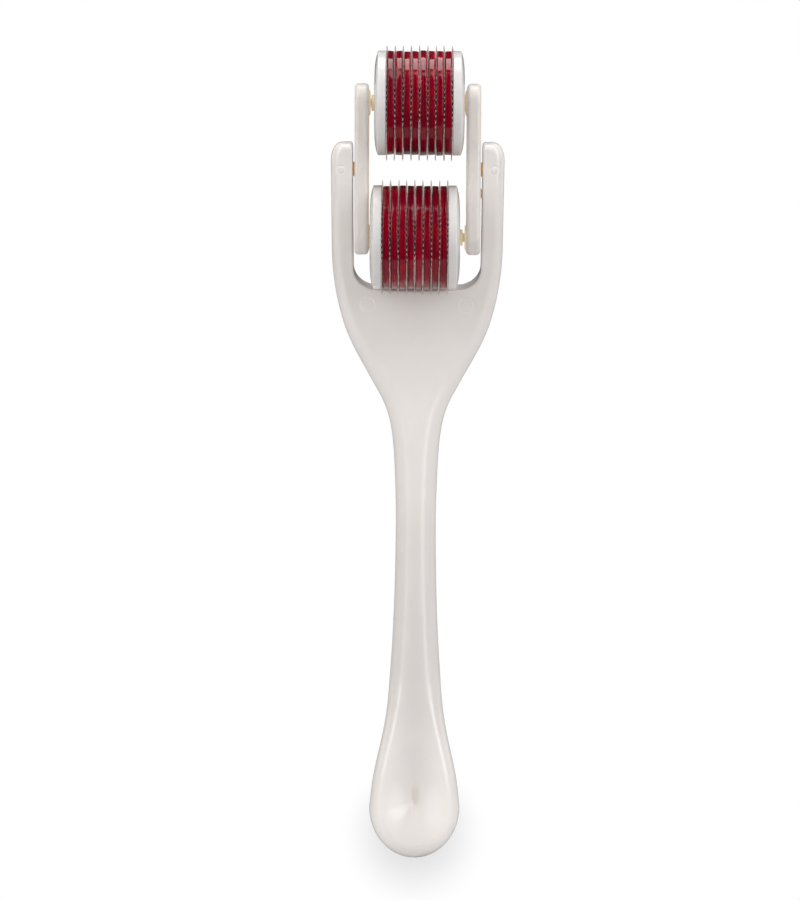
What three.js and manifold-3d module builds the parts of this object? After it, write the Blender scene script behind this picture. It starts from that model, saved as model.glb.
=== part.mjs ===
// Twin-head derma roller: a one-piece handle with a fork, a rocker of two links that pivots
// in the fork, and two needle drums that spin on axles between the links.
// Millimetres. +Z up, towards the drums; the needles' working side and the hollow face -Y.
// The origin is the middle of the grip, where a hand closes on the handle.
import * as THREE from "three";
import { mergeVertices } from "three/addons/utils/BufferGeometryUtils.js";
import Module from "manifold-3d";

const wasm = await Module();
wasm.setup();

// ---------------------------------------------------------------- driving dimensions

// Heights here are measured from the handle's lower end, and depths from the plane of the
// rocker's pivot; GRIP is the point that becomes the origin.
const GRIP = { height: 65, depth: 10 };

const PIVOT_HEIGHT = 135.8;
const AXLE_OFFSETS = { upper: 12.7, lower: -13.1 }; // heights above the pivot

const NEEDLE_COUNT = 60; // on each disc
const DISC_COUNT = 9; // in each drum
const DISC_PITCH = 1.57;
const DISC_THICKNESS = 0.25;
const NEEDLE_TIP_RADIUS = 11.1;
const NEEDLE_ROOT_RADIUS = 9.2;
const DRUM_RADIUS = 10;
const STACK_GAP = 0.03; // between neighbours in the stack

const CORE_CORNER_RADIUS = 4; // hexagonal, so that the stack turns as one
const CORE_CLEARANCE = 0.1;
const CORE_HALF_LENGTH = 7.3;
const SHOULDER_RADIUS = 1.55;
const SHOULDER_REACH = 0.55; // past the cap's outer face
const CAP_FACE = 8.67; // half the drum's width
const DOME_RISE = 0.72; // of a cap's face above its rim
const DOME_POWER = 6; // the face is flat in the middle and falls away near the rim
const CAP_RECESS_RADIUS = 2.8;
const CAP_RECESS_DEPTH = 0.5;

const AXLE_RADIUS = 0.85;
const AXLE_HALF_LENGTH = 11;
const AXLE_RUNNING_GAP = 0.1;
const AXLE_SEAT_GAP = 0.05;

const LINK_INNER = 9.39;
const LINK_OUTER = 12.12;
const LINK_REACH = 12.9; // from the pivot to the centre of each round end
const LINK_RADIUS = 3.55; // of the round ends, and half the link's depth
const LINK_EDGE = 0.6;
const BOSS_FACE = 9.1; // reaches into the recess of a cap that rests against it
const BOSS_BASE_RADIUS = 2.45;
const BOSS_FACE_RADIUS = 2.2;

const PIN_RADIUS = 1.35;
const PIN_SPAN = [10.2, 14.5];
const PIN_RUNNING_GAP = 0.1;
const PIN_SEAT_GAP = 0.05;

// The nub stands out of the right link as far as the arm's inner face, and rubs on it, so
// that the rocker doesn't flop.
const NUB_OFFSET = 4.6; // below the pivot
const NUB_RADIUS = 0.98;
const NUB_SPAN = [10.6, 12.34];

const FORK_TOP = 141.1;
const FORK_SHOULDER = 3.5; // height of the rounding at an arm's top
const FORK_SHOULDER_INSET = 2.7;
const NOTCH_FLOOR = 112.6; // at the middle of the web
const NOTCH_HALF_WIDTH = 12.35;
const NOTCH_DRAFT = 0.2; // wider by this at the top
const NOTCH_CORNER = 4.4;
const NOTCH_TILT = THREE.MathUtils.degToRad(11);

const EDGE_ROUND = 3.4; // how far the handle's edge rounding reaches in from its outline
const SECTION_POWER = 2.3;
const END_LENGTH = 10; // the rounded lower end is half an ellipse this long
const HOLLOW = { height: 13.8, length: 10.4, width: 6.5, depth: 1.9 };

// How many flats stand in for a round piece, by its size.
const DRUM_SIDES = 28;
const BARREL_SIDES = 20;
const AXLE_SIDES = 14;
const NUB_SIDES = 14;

// The drums float along their axles: each rests against a different link.
const DRUMS = {
  upper: { phase: 0, float: 0.28 },
  lower: { phase: 0.3, float: -0.48 },
};

// [height, half width] of the handle's outline
const HALF_WIDTHS = [
  [10, 8.9],
  [15, 8.35],
  [20, 7.35],
  [25, 6.25],
  [30, 5.45],
  [36, 4.97],
  [46, 4.37],
  [57, 4.02],
  [67, 3.92],
  [75, 4.12],
  [81, 4.44],
  [85, 4.95],
  [88.5, 5.82],
  [92, 7.55],
  [96, 9.75],
  [100, 11.95],
  [104, 13.8],
  [108, 15],
  [113, 16],
  [119, 16.52],
  [130, 16.6],
  [141, 16.75],
];

// [height, half thickness]
const HALF_THICKNESSES = [
  [0, 3.4],
  [10, 4.1],
  [27, 4.4],
  [68, 4.2],
  [85, 4.2],
  [95, 3.8],
  [104, 3.15],
  [112, 2.8],
  [121, 2.9],
  [131, 3.1],
  [142, 3.1],
];

// [height, depth of the middle of the section behind the pivot's plane]
const DEPTHS = [
  [0, 6.9],
  [17, 7.9],
  [38, 9.2],
  [58, 9.9],
  [78, 10.6],
  [93, 11],
  [101, 10.6],
  [107, 9.7],
  [113, 7.9],
  [121, 4.1],
  [128, 1.2],
  [134, 0.1],
  [142, 0],
];

// ---------------------------------------------------------------- curves and solids

// A smooth curve through [place, value] stations that never overshoots them.
function along(stations, place) {
  const last = stations.length - 1;
  if (place <= stations[0][0]) return stations[0][1];
  if (place >= stations[last][0]) return stations[last][1];
  const i = stations.findIndex((station) => station[0] > place) - 1;
  const slope = (k) => (stations[k + 1][1] - stations[k][1]) / (stations[k + 1][0] - stations[k][0]);
  const tangent = (k) => {
    if (k === 0) return slope(0);
    if (k === last) return slope(last - 1);
    const [before, after] = [slope(k - 1), slope(k)];
    return before * after <= 0 ? 0 : (2 * before * after) / (before + after);
  };
  const span = stations[i + 1][0] - stations[i][0];
  const t = (place - stations[i][0]) / span;
  return (
    stations[i][1] * (1 + 2 * t) * (1 - t) ** 2 +
    tangent(i) * span * t * (1 - t) ** 2 +
    stations[i + 1][1] * t * t * (3 - 2 * t) +
    tangent(i + 1) * span * t * t * (t - 1)
  );
}

// A closed geometry as a manifold-3d solid.
function solid(geometry) {
  const bare = geometry.clone();
  for (const name of Object.keys(bare.attributes)) {
    if (name !== "position") bare.deleteAttribute(name);
  }
  const merged = mergeVertices(bare, 1e-4);
  return new wasm.Manifold(
    new wasm.Mesh({
      numProp: 3,
      vertProperties: merged.attributes.position.array,
      triVerts: new Uint32Array(merged.index.array),
    }),
  );
}

// A manifold-3d solid as a geometry.
function geometryOf(made) {
  const mesh = made.getMesh();
  const geometry = new THREE.BufferGeometry();
  geometry.setAttribute("position", new THREE.BufferAttribute(new Float32Array(mesh.vertProperties), 3));
  geometry.setIndex(new THREE.BufferAttribute(new Uint32Array(mesh.triVerts), 1));
  geometry.computeVertexNormals();
  return geometry;
}

// A round bar along X from one place to another, at a height and depth.
function barX(radius, from, to, height = 0, sides = BARREL_SIDES, endRadius = radius) {
  return new THREE.CylinderGeometry(endRadius, radius, to - from, sides)
    .rotateZ(-Math.PI / 2)
    .translate((from + to) / 2, 0, height);
}

// A shape drawn in (depth, height) and extruded along X between two places. The half turns
// carry the shape's own X to the part's Y, its Y to Z, and the extrusion to X.
function plateX(shape, from, to, options = {}) {
  const settings = { depth: to - from, bevelEnabled: false, ...options };
  return new THREE.ExtrudeGeometry(shape, settings)
    .rotateX(Math.PI / 2)
    .rotateZ(Math.PI / 2)
    .translate(from, 0, 0);
}

// A closed skin over rings of equally many points, each ring going the same way round.
function loft(rings) {
  const count = rings[0].length;
  const points = rings.flat();
  const faces = [];
  for (let ring = 0; ring < rings.length - 1; ring++) {
    for (let k = 0; k < count; k++) {
      const [a, b] = [ring * count + k, ring * count + ((k + 1) % count)];
      faces.push(a, b, b + count, a, b + count, a + count);
    }
  }
  const lastRing = (rings.length - 1) * count;
  for (let k = 1; k < count - 1; k++) {
    faces.push(0, k + 1, k);
    faces.push(lastRing, lastRing + k, lastRing + k + 1);
  }
  const geometry = new THREE.BufferGeometry().setFromPoints(points);
  return geometry.setIndex(faces);
}

// ---------------------------------------------------------------- handle

// One section of the handle: flat in the middle, rounded towards both edges.
function handleRing(height) {
  const ARC_STEPS = 4;
  const LEAST_FLAT = 0.25;
  const lowEnd = Math.sqrt(Math.max(0, 1 - (Math.max(0, END_LENGTH - height) / END_LENGTH) ** 2));
  const topShare = Math.max(0, height - (FORK_TOP - FORK_SHOULDER)) / FORK_SHOULDER;
  const topRound = 1 - Math.sqrt(Math.max(0, 1 - topShare * topShare));
  const halfWidth = along(HALF_WIDTHS, height) * lowEnd - FORK_SHOULDER_INSET * topRound;
  const thinning = Math.max(0.3, lowEnd ** 0.7) * (1 - 0.75 * topRound);
  const halfThickness = along(HALF_THICKNESSES, height) * thinning;
  const depth = along(DEPTHS, height);
  const reach = Math.min(EDGE_ROUND, halfWidth - LEAST_FLAT);
  const quarter = [];
  for (let k = 0; k <= ARC_STEPS; k++) {
    const angle = (k / ARC_STEPS) * (Math.PI / 2);
    quarter.push([
      halfWidth - reach + reach * Math.cos(angle) ** (2 / SECTION_POWER),
      halfThickness * Math.sin(angle) ** (2 / SECTION_POWER),
    ]);
  }
  const back = [...quarter, ...quarter.map(([x, y]) => [-x, y]).reverse()];
  const front = back
    .slice(1, -1)
    .map(([x, y]) => [x, -y])
    .reverse();
  return [...back, ...front].map(([x, y]) => new THREE.Vector3(x, depth + y, height));
}

function handleHeights() {
  const END_ANGLES = [0.06, 0.22, 0.4, 0.6, 0.8, 1];
  const lower = END_ANGLES.map((share) => END_LENGTH * (1 - Math.cos((share * Math.PI) / 2)));
  const grip = [12.5, 15, 18, 21, 24, 27, 30, 35, 45, 57, 67, 75, 80, 84];
  const shoulders = [87, 90, 93, 96, 99, 102, 105, 108, 111, 114, 117];
  const arms = [120, 123, 126, 129, 133];
  const TOP_ANGLES = [0, 0.35, 0.65, 0.9];
  const top = TOP_ANGLES.map((share) => FORK_TOP - FORK_SHOULDER * (1 - Math.sin((share * Math.PI) / 2)));
  return [...lower, ...grip, ...shoulders, ...arms, ...top, FORK_TOP];
}

// The space between the fork's arms, open upwards.
function notch() {
  const TOP = 45;
  const BACK_AND_FORTH = 40;
  const shape = new THREE.Shape();
  const [half, corner] = [NOTCH_HALF_WIDTH, NOTCH_CORNER];
  shape.moveTo(-half - NOTCH_DRAFT, TOP);
  shape.lineTo(-half, corner);
  shape.absarc(-half + corner, corner, corner, Math.PI, 1.5 * Math.PI);
  shape.absarc(half - corner, corner, corner, 1.5 * Math.PI, 2 * Math.PI);
  shape.lineTo(half + NOTCH_DRAFT, TOP);
  shape.closePath();
  return new THREE.ExtrudeGeometry(shape, { depth: BACK_AND_FORTH, bevelEnabled: false, curveSegments: 6 })
    .translate(0, 0, -BACK_AND_FORTH / 2)
    .rotateX(Math.PI / 2 + NOTCH_TILT)
    .translate(0, along(DEPTHS, NOTCH_FLOOR), NOTCH_FLOOR);
}

// The shallow spoon-shaped hollow for a fingertip, in the front of the lower end.
function hollow() {
  const frontFace = along(DEPTHS, HOLLOW.height) - along(HALF_THICKNESSES, HOLLOW.height);
  const BALL_DEPTH = 5;
  const share = 1 - HOLLOW.depth / BALL_DEPTH;
  const widening = 1 / Math.sqrt(1 - share * share);
  return new THREE.SphereGeometry(1, 20, 12)
    .scale(HOLLOW.width * widening, BALL_DEPTH, HOLLOW.length * widening)
    .translate(0, frontFace + HOLLOW.depth - BALL_DEPTH, HOLLOW.height);
}

function handle() {
  const SOCKET_END = PIN_SPAN[1] + 0.2;
  let made = solid(loft(handleHeights().map(handleRing)));
  made = made.subtract(solid(notch())).subtract(solid(hollow()));
  for (const side of [-1, 1]) {
    const [near, far] = [side * (NOTCH_HALF_WIDTH - 1), side * SOCKET_END];
    const socket = barX(PIN_RADIUS + PIN_RUNNING_GAP, Math.min(near, far), Math.max(near, far), PIVOT_HEIGHT);
    made = made.subtract(solid(socket));
  }
  return geometryOf(made);
}

// ---------------------------------------------------------------- rocker

// A link on one side: a flat bar with round ends, a boss round each axle's seat, and a seat
// for the pivot pin. The right one also has a seat for the nub.
function link(side) {
  const shape = new THREE.Shape();
  const radius = LINK_RADIUS - LINK_EDGE;
  shape.absarc(0, LINK_REACH, radius, 0, Math.PI);
  shape.absarc(0, -LINK_REACH, radius, Math.PI, 2 * Math.PI);
  shape.closePath();
  const rounded = {
    bevelEnabled: true,
    bevelThickness: LINK_EDGE,
    bevelSize: LINK_EDGE,
    bevelSegments: 2,
    curveSegments: 7,
  };
  let made = solid(plateX(shape, LINK_INNER + LINK_EDGE, LINK_OUTER - LINK_EDGE, rounded));
  const axleSeatEnd = AXLE_HALF_LENGTH + 0.1;
  const shoulderSeatEnd = CAP_FACE + SHOULDER_REACH + 0.75;
  for (const height of Object.values(AXLE_OFFSETS)) {
    const boss = barX(BOSS_FACE_RADIUS, BOSS_FACE, LINK_INNER + 0.1, height, BARREL_SIDES, BOSS_BASE_RADIUS);
    made = made.add(solid(boss));
    made = made.subtract(solid(barX(SHOULDER_RADIUS + 0.2, BOSS_FACE - 1, shoulderSeatEnd, height)));
    const axleSeat = barX(AXLE_RADIUS + AXLE_SEAT_GAP, BOSS_FACE - 1, axleSeatEnd, height, AXLE_SIDES);
    made = made.subtract(solid(axleSeat));
  }
  made = made.subtract(solid(barX(PIN_RADIUS + PIN_SEAT_GAP, PIN_SPAN[0] - 0.1, LINK_OUTER + 1)));
  if (side > 0) {
    const seat = barX(NUB_RADIUS + PIN_SEAT_GAP, NUB_SPAN[0] - 0.1, LINK_OUTER + 1, -NUB_OFFSET, NUB_SIDES);
    return geometryOf(made.subtract(solid(seat)));
  }
  return geometryOf(made.mirror([1, 0, 0]));
}

// ---------------------------------------------------------------- drums

function polar(radius, angle) {
  return [radius * Math.cos(angle), radius * Math.sin(angle)];
}

function hexagon(radius, Kind = THREE.Shape) {
  const path = new Kind();
  for (let k = 0; k < 6; k++) {
    const corner = polar(radius, (k * Math.PI) / 3);
    if (k === 0) path.moveTo(...corner);
    else path.lineTo(...corner);
  }
  path.closePath();
  return path;
}

// The moulded core that carries the stack, with a round shoulder at each end.
function core() {
  const shoulderEnd = CAP_FACE + SHOULDER_REACH;
  const hex = solid(plateX(hexagon(CORE_CORNER_RADIUS), -CORE_HALF_LENGTH, CORE_HALF_LENGTH));
  const shoulders = solid(barX(SHOULDER_RADIUS, -shoulderEnd, shoulderEnd));
  const bore = solid(barX(AXLE_RADIUS + AXLE_RUNNING_GAP, -shoulderEnd - 1, shoulderEnd + 1, 0, AXLE_SIDES));
  return geometryOf(hex.add(shoulders).subtract(bore));
}

// A domed end cap, seated on the core's hexagon.
function cap(side) {
  const inner = ((DISC_COUNT - 1) / 2) * DISC_PITCH + DISC_THICKNESS / 2 + STACK_GAP;
  const bore = SHOULDER_RADIUS + CORE_CLEARANCE;
  const recess = CAP_FACE - CAP_RECESS_DEPTH;
  const dome = (radius) => CAP_FACE - DOME_RISE * (radius / DRUM_RADIUS) ** DOME_POWER;
  const profile = [
    [bore, inner],
    [DRUM_RADIUS, inner],
    ...[DRUM_RADIUS, 9.3, 8.2, 6.4].map((radius) => [radius, dome(radius)]),
    [CAP_RECESS_RADIUS, CAP_FACE],
    [CAP_RECESS_RADIUS, recess],
    [bore, recess],
    [bore, inner],
  ].map(([radius, place]) => new THREE.Vector2(radius, place));
  const turned = new THREE.LatheGeometry(profile, DRUM_SIDES).rotateZ(-Math.PI / 2);
  const socketEnd = CORE_HALF_LENGTH + CORE_CLEARANCE;
  const socket = plateX(hexagon(CORE_CORNER_RADIUS + CORE_CLEARANCE), inner - 1, socketEnd);
  const made = solid(turned).subtract(solid(socket));
  return geometryOf(side > 0 ? made : made.mirror([1, 0, 0]));
}

function spacer() {
  const half = (DISC_PITCH - DISC_THICKNESS) / 2 - STACK_GAP;
  const shape = new THREE.Shape().absarc(0, 0, DRUM_RADIUS, 0, 2 * Math.PI);
  shape.holes.push(hexagon(CORE_CORNER_RADIUS + CORE_CLEARANCE, THREE.Path));
  return plateX(shape, -half, half, { curveSegments: DRUM_SIDES / 2 });
}

// A thin disc whose rim is a ring of needles. Each turn of phase moves the first needle on.
function needleDisc(phase) {
  const step = (2 * Math.PI) / NEEDLE_COUNT;
  const shape = new THREE.Shape();
  for (let k = 0; k < NEEDLE_COUNT; k++) {
    const root = polar(NEEDLE_ROOT_RADIUS, (k + phase) * step);
    const tip = polar(NEEDLE_TIP_RADIUS, (k + 0.5 + phase) * step);
    if (k === 0) shape.moveTo(...root);
    else shape.lineTo(...root);
    shape.lineTo(...tip);
  }
  shape.closePath();
  shape.holes.push(hexagon(CORE_CORNER_RADIUS + CORE_CLEARANCE, THREE.Path));
  return plateX(shape, -DISC_THICKNESS / 2, DISC_THICKNESS / 2);
}

// ---------------------------------------------------------------- materials and assembly

const whitePlastic = { color: 0xe3ddd8, roughness: 0.28, metalness: 0 };
const whiteCap = { color: 0xe0dddb, roughness: 0.3, metalness: 0 };
const amberNylon = { color: 0xc99a55, roughness: 0.4, metalness: 0 };
const ivoryNylon = { color: 0xcdbfa6, roughness: 0.4, metalness: 0 };
const redPlastic = { color: 0x8e0316, roughness: 0.15, metalness: 0 };
const steel = { color: 0xa89c94, roughness: 0.35, metalness: 1 };

function place(group, name, geometry, look, x = 0) {
  const mesh = new THREE.Mesh(geometry, new THREE.MeshStandardMaterial(look));
  mesh.name = name;
  mesh.position.x = x;
  group.add(mesh);
}

function drum(name, { phase, float }) {
  const GOLDEN = 0.618; // spreads the discs' needles out of line with each other
  const group = new THREE.Group();
  place(group, `${name}_core`, core(), ivoryNylon);
  place(group, `${name}_left_cap`, cap(-1), whiteCap);
  place(group, `${name}_right_cap`, cap(1), whiteCap);
  const first = (-(DISC_COUNT - 1) / 2) * DISC_PITCH;
  for (let k = 0; k < DISC_COUNT; k++) {
    const disc = needleDisc((k * GOLDEN + phase) % 1);
    place(group, `${name}_needle_disc_${k + 1}`, disc, steel, first + k * DISC_PITCH);
  }
  for (let k = 0; k < DISC_COUNT - 1; k++) {
    place(group, `${name}_spacer_${k + 1}`, spacer(), redPlastic, first + (k + 0.5) * DISC_PITCH);
  }
  group.position.set(float, 0, AXLE_OFFSETS[name]);
  return group;
}

function rocker() {
  const group = new THREE.Group();
  place(group, "left_link", link(-1), whitePlastic);
  place(group, "right_link", link(1), whitePlastic);
  place(group, "left_pivot_pin", barX(PIN_RADIUS, -PIN_SPAN[1], -PIN_SPAN[0]), amberNylon);
  place(group, "right_pivot_pin", barX(PIN_RADIUS, ...PIN_SPAN), amberNylon);
  place(group, "friction_nub", barX(NUB_RADIUS, ...NUB_SPAN, -NUB_OFFSET, NUB_SIDES), amberNylon);
  for (const [name, height] of Object.entries(AXLE_OFFSETS)) {
    const axle = barX(AXLE_RADIUS, -AXLE_HALF_LENGTH, AXLE_HALF_LENGTH, height, AXLE_SIDES);
    place(group, `${name}_axle`, axle, ivoryNylon);
  }
  for (const [name, how] of Object.entries(DRUMS)) group.add(drum(name, how));
  group.position.z = PIVOT_HEIGHT;
  return group;
}

const roller = new THREE.Group();
place(roller, "handle", handle(), whitePlastic);
roller.add(rocker());
roller.position.set(0, -GRIP.depth, -GRIP.height);

export default roller;
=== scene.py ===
"""Looks of a twin-head derma roller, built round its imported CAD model.

Shapes are worked out in millimetres in the row frame, and turned into metres where a mesh is
made. Places and sizes come from the CAD nodes; the constants below are the finer dimensions
that the CAD model leaves out.
"""
import math

import bmesh
import bpy
import numpy as np
from mathutils import Matrix, Vector


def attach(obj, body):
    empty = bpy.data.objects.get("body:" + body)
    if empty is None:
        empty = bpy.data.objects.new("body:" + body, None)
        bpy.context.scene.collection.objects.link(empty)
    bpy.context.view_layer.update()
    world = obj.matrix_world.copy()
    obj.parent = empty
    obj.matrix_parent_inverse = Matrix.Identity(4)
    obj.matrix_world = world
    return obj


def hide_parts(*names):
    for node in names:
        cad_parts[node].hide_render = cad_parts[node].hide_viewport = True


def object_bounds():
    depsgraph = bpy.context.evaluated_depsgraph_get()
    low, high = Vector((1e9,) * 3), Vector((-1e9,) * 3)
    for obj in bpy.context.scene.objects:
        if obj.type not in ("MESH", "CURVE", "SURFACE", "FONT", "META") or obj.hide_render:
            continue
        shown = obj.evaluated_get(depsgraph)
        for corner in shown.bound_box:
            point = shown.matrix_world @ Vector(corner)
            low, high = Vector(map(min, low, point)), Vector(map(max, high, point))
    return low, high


MM = 0.001

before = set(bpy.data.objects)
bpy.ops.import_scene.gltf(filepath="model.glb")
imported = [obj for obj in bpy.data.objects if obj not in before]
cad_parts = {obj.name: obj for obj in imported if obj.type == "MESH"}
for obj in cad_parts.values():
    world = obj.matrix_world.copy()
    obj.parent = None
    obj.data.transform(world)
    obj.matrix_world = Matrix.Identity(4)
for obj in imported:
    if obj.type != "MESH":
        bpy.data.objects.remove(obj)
CAD_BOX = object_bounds()


# ---------------------------------------------------------------- what the CAD model says


def points_of(node):
    """A CAD node's vertices, in millimetres."""
    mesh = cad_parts[node].data
    flat = np.empty(len(mesh.vertices) * 3, np.float32)
    mesh.vertices.foreach_get("co", flat)
    return flat.reshape(-1, 3).astype(float) / MM


def span(node):
    """A CAD node's lowest and highest corner, in millimetres."""
    points = points_of(node)
    return points.min(0), points.max(0)


def middle(node):
    low, high = span(node)
    return (low + high) / 2


PIVOT = middle("right_pivot_pin")
AXLES = {"upper": middle("upper_axle"), "lower": middle("lower_axle")}
FOOT, FORK_TOP = span("handle")[0][2], span("handle")[1][2]


def radius_at_end(node, axis_point):
    """Radius of a round CAD piece at its end furthest along +X."""
    points = points_of(node)
    end = points[points[:, 0] > points[:, 0].max() - 0.01]
    return np.hypot(end[:, 1] - axis_point[1], end[:, 2] - axis_point[2]).max()


# ---------------------------------------------------------------- curves and distances


def smooth_curve(stations):
    """A function through (place, value) stations that never overshoots them."""
    places, values = np.array(stations, float).T
    slopes = np.diff(values) / np.diff(places)
    product = slopes[:-1] * slopes[1:]
    total = np.where(product > 0, slopes[:-1] + slopes[1:], 1)
    inner = np.where(product > 0, 2 * product / total, 0)
    tangents = np.concatenate([slopes[:1], inner, slopes[-1:]])

    def curve(place):
        place = np.clip(place, places[0], places[-1])
        i = np.clip(np.searchsorted(places, place, side="right") - 1, 0, len(slopes) - 1)
        step = places[i + 1] - places[i]
        t = (place - places[i]) / step
        return (
            values[i] * (1 + 2 * t) * (1 - t) ** 2
            + tangents[i] * step * t * (1 - t) ** 2
            + values[i + 1] * t * t * (3 - 2 * t)
            + tangents[i + 1] * step * t * t * (t - 1)
        )

    return curve


def round_max(a, b, radius):
    """Where two solids overlap, with a rounded edge between them. Distances are negative inside."""
    both = np.hypot(np.maximum(a + radius, 0), np.maximum(b + radius, 0))
    return np.minimum(-radius, np.maximum(a, b)) + both


def round_min(a, b, radius):
    """Two solids joined, with a fillet between them."""
    return -round_max(-a, -b, radius)


def bell(distance, width):
    return np.exp(-((distance / width) ** 2))


# ---------------------------------------------------------------- meshes


def new_object(name, vertices, faces, material, normals=None):
    """A smooth-shaded mesh object from vertices in millimetres."""
    mesh = bpy.data.meshes.new(name)
    mesh.from_pydata((np.asarray(vertices) * MM).tolist(), [], [list(face) for face in faces])
    mesh.polygons.foreach_set("use_smooth", np.ones(len(mesh.polygons), bool))
    if normals is not None:
        mesh.normals_split_custom_set_from_vertices(normals.tolist())
    mesh.update()
    mesh.materials.append(material)
    made = bpy.data.objects.new(name, mesh)
    bpy.context.scene.collection.objects.link(made)
    return made


def stand_in(made, node, body):
    """The piece moves with a body, and hides the CAD node it is a finer version of."""
    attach(made, body)
    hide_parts(node)


def grid_surface(field, low, high, step):
    """Vertices and quads of the surface field = 0, one vertex in each grid cell that it crosses."""
    axes = [np.arange(low[k] - 2.5 * step, high[k] + 3 * step, step) for k in range(3)]
    values = field(axes[0][:, None, None], axes[1][None, :, None], axes[2][None, None, :])
    inside = values < 0
    corners = sum(
        inside[a : a - 1 or None, b : b - 1 or None, c : c - 1 or None].astype(np.uint8)
        for a in (0, 1)
        for b in (0, 1)
        for c in (0, 1)
    )
    crossed = (corners > 0) & (corners < 8)
    cell_number = np.full(crossed.shape, -1)
    cell_number[crossed] = np.arange(crossed.sum())
    cells = np.array(np.nonzero(crossed))
    total, count = np.zeros((cells.shape[1], 3)), np.zeros(cells.shape[1])
    quads = []
    for axis in range(3):
        u, v = (axis + 1) % 3, (axis + 2) % 3
        for a, b in ((0, 0), (0, 1), (1, 0), (1, 1)):
            near = cells.copy()
            near[u] += a
            near[v] += b
            far = near.copy()
            far[axis] += 1
            f_near, f_far = values[tuple(near)], values[tuple(far)]
            cut = (f_near < 0) != (f_far < 0)
            share = np.where(cut, f_near / np.where(cut, f_near - f_far, 1), 0)
            place = np.stack([axes[k][near[k]] for k in range(3)], axis=1)
            place[:, axis] += share * step
            total += place * cut[:, None]
            count += cut
        ahead = np.moveaxis(inside, axis, 0)
        near, far = ahead[:-1], ahead[1:]
        edges = np.moveaxis(near != far, 0, axis)
        starts = np.array(np.nonzero(edges))
        starts = starts[:, (starts[u] > 0) & (starts[v] > 0)]
        round_the_edge = []
        for a, b in ((-1, -1), (0, -1), (0, 0), (-1, 0)):
            cell = starts.copy()
            cell[u] += a
            cell[v] += b
            round_the_edge.append(cell_number[tuple(cell)])
        ring = np.stack(round_the_edge, axis=1)
        leaving = inside[tuple(starts)]
        quads.append(np.where(leaving[:, None], ring, ring[:, ::-1]))
    return total / count[:, None], np.concatenate(quads)


def slope_of(field, points):
    """The field at the points, and its gradient there."""
    REACH = 0.01
    x, y, z = points.T
    here = field(x, y, z)
    slope = np.stack(
        [
            field(x + REACH, y, z) - here,
            field(x, y + REACH, z) - here,
            field(x, y, z + REACH) - here,
        ],
        axis=1,
    )
    return here, slope / REACH


def settle(field, points, longest):
    """Moves points onto the surface field = 0, and returns them with the surface's normals."""
    ROUNDS = 3
    for _ in range(ROUNDS):
        here, slope = slope_of(field, points)
        move = -(here / np.maximum((slope**2).sum(1), 0.05))[:, None] * slope
        size = np.linalg.norm(move, axis=1)
        points = points + move * np.minimum(1, longest / np.maximum(size, 1e-9))[:, None]
    slope = slope_of(field, points)[1]
    return points, slope / np.maximum(np.linalg.norm(slope, axis=1), 1e-9)[:, None]


def refine(vertices, faces, spots):
    """Cuts the faces near each (x, y, z, radius) spot into smaller ones."""
    CUTS = 2
    made = bmesh.new()
    for vertex in vertices:
        made.verts.new(vertex)
    made.verts.ensure_lookup_table()
    for face in faces:
        made.faces.new([made.verts[k] for k in face])
    edges = set()
    for x, y, z, radius in spots:
        centre = Vector((x, y, z))
        for face in made.faces:
            if (face.calc_center_median() - centre).length < radius:
                edges.update(face.edges)
    bmesh.ops.subdivide_edges(made, edges=list(edges), cuts=CUTS, use_grid_fill=True)
    made.verts.index_update()
    finer = np.array([vertex.co[:] for vertex in made.verts])
    faces = [[vertex.index for vertex in face.verts] for face in made.faces]
    made.free()
    return finer, faces


def moulded(name, field, low, high, step, material, spots=()):
    """A moulding whose surface is where the field is zero."""
    vertices, faces = grid_surface(field, low, high, step)
    vertices, normals = settle(field, vertices, step)
    if spots:
        vertices, faces = refine(vertices, faces, spots)
        vertices, normals = settle(field, vertices, step)
    return new_object(name, vertices, faces, material, normals)


def turned_rings(profile, sides, axis_point, radius_change=None):
    """Vertices and faces of a closed profile of (x, radius) turned about a line along X."""
    profile = np.array(profile, float)
    angles = np.arange(sides) * 2 * np.pi / sides
    place = np.broadcast_to(profile[:, 0], (sides, len(profile)))
    radius = np.broadcast_to(profile[:, 1], (sides, len(profile)))
    if radius_change is not None:
        radius = radius + radius_change(angles[:, None], place, radius)
    y = axis_point[1] + radius * np.sin(angles)[:, None]
    z = axis_point[2] + radius * np.cos(angles)[:, None]
    vertices = np.stack([place, y, z], axis=2).reshape(-1, 3)
    count = len(profile)
    faces = []
    for i in range(sides):
        here, there = i * count, ((i + 1) % sides) * count
        for k in range(count):
            after = (k + 1) % count
            faces.append((here + k, there + k, there + after, here + after))
    return vertices, faces


def rounded(corners, radius, steps=4):
    """A closed profile with each corner replaced by a small arc-like curve."""
    corners = [np.array(corner[:2], float) for corner in corners]
    made = []
    for k, corner in enumerate(corners):
        before, after = corners[k - 1] - corner, corners[(k + 1) % len(corners)] - corner
        reach = min(radius, 0.45 * np.linalg.norm(before), 0.45 * np.linalg.norm(after))
        start = corner + before / np.linalg.norm(before) * reach
        end = corner + after / np.linalg.norm(after) * reach
        for t in np.linspace(0, 1, steps):
            made.append((1 - t) ** 2 * start + 2 * t * (1 - t) * corner + t * t * end)
    return made


def face_out(made):
    """Turns all faces of a closed mesh outwards."""
    work = bmesh.new()
    work.from_mesh(made.data)
    bmesh.ops.recalc_face_normals(work, faces=work.faces)
    work.to_mesh(made.data)
    work.free()


def turned(name, profile, sides, axis_point, material, radius_change=None):
    """A piece turned about a line along X."""
    vertices, faces = turned_rings(profile, sides, axis_point, radius_change)
    made = new_object(name, vertices, faces, material)
    face_out(made)
    return made


# ---------------------------------------------------------------- materials


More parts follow.
